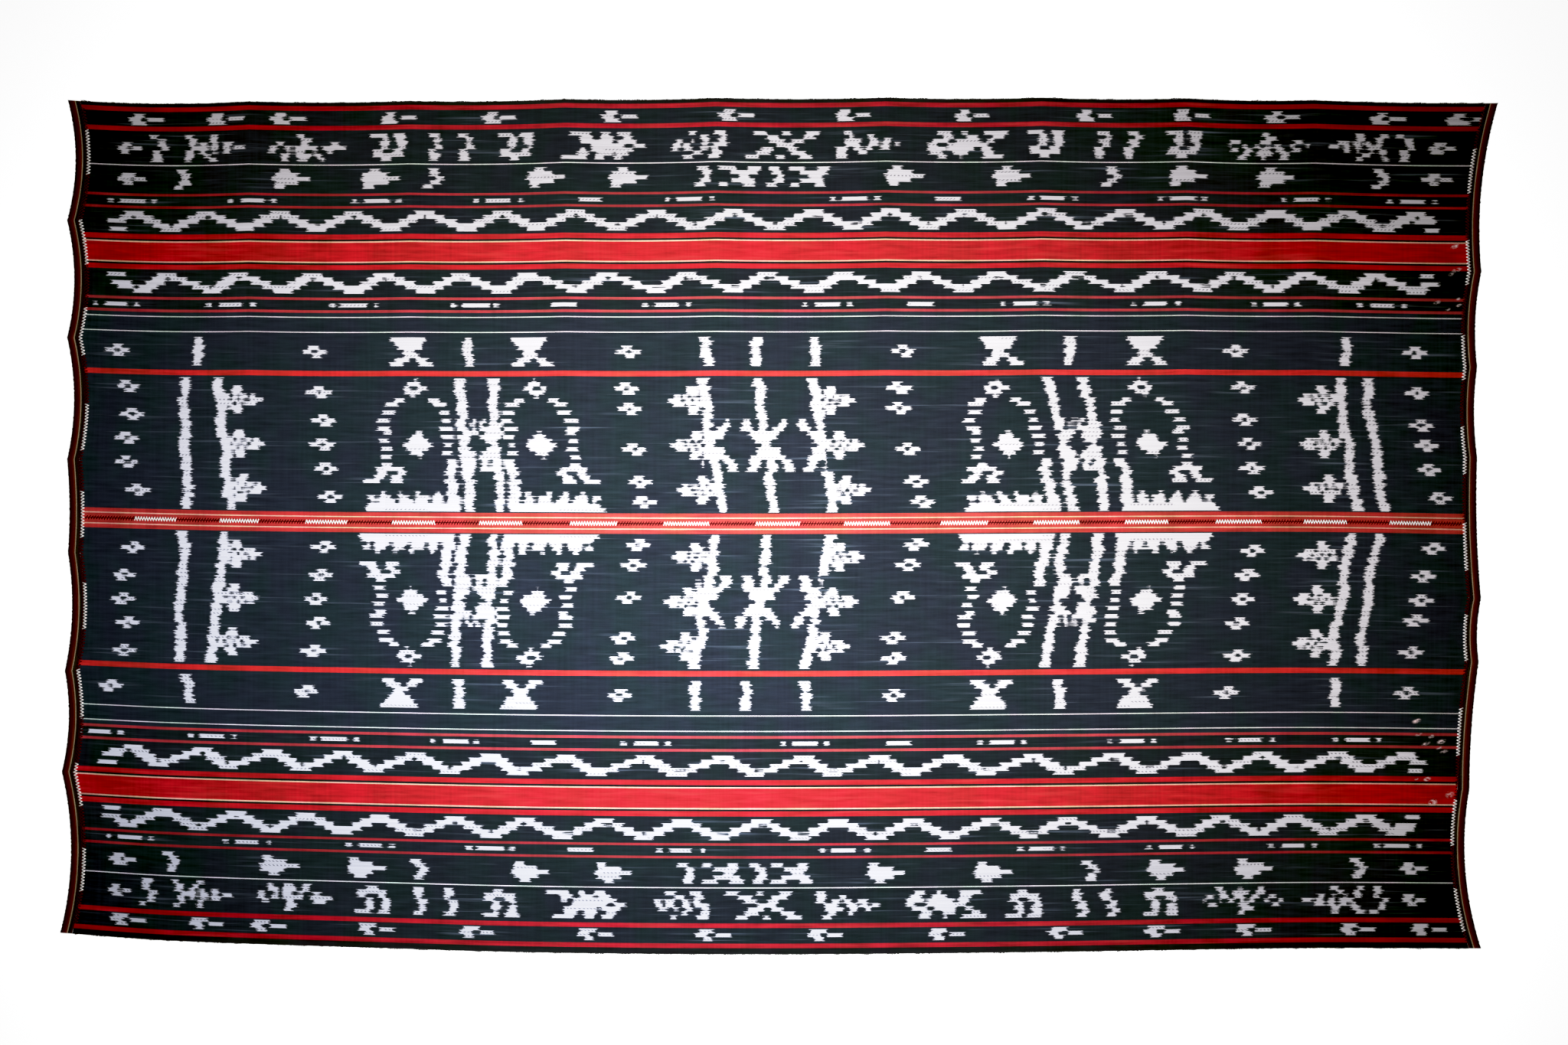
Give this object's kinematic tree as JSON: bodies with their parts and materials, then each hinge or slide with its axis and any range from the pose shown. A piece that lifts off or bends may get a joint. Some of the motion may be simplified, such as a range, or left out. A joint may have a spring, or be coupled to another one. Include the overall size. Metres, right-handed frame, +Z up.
{
  "type": "ikat woven cloth",
  "caption": "Flat warp ikat cotton cloth of loom widths sewn edge to edge, with striped borders, dyed motif bands and a narrow woven band sewn along each end.",
  "frame": {"origin": "on the surface the cloth lies on, under the middle of its bounding box", "axes": "+X along the warp and the stripes, +Y across the loom widths, +Z up out of the face"},
  "size_m": [2.0272, 1.2074, 0.0018],
  "materials": {
    "ikat_cotton": "matt warp-faced plain weave, indigo ground with undyed motifs and red and cream stripes",
    "band_cotton": "matt ribbed warp-faced band, rust red with gold and black lines",
    "stitch_cotton": "matt plied cotton thread, undyed and maroon by turns"
  },
  "bodies": {
    "root": {"upper_panel": "ikat_cotton", "lower_panel": "ikat_cotton", "left_end_band": "band_cotton", "right_end_band": "band_cotton"}
  },
  "joints": []
}
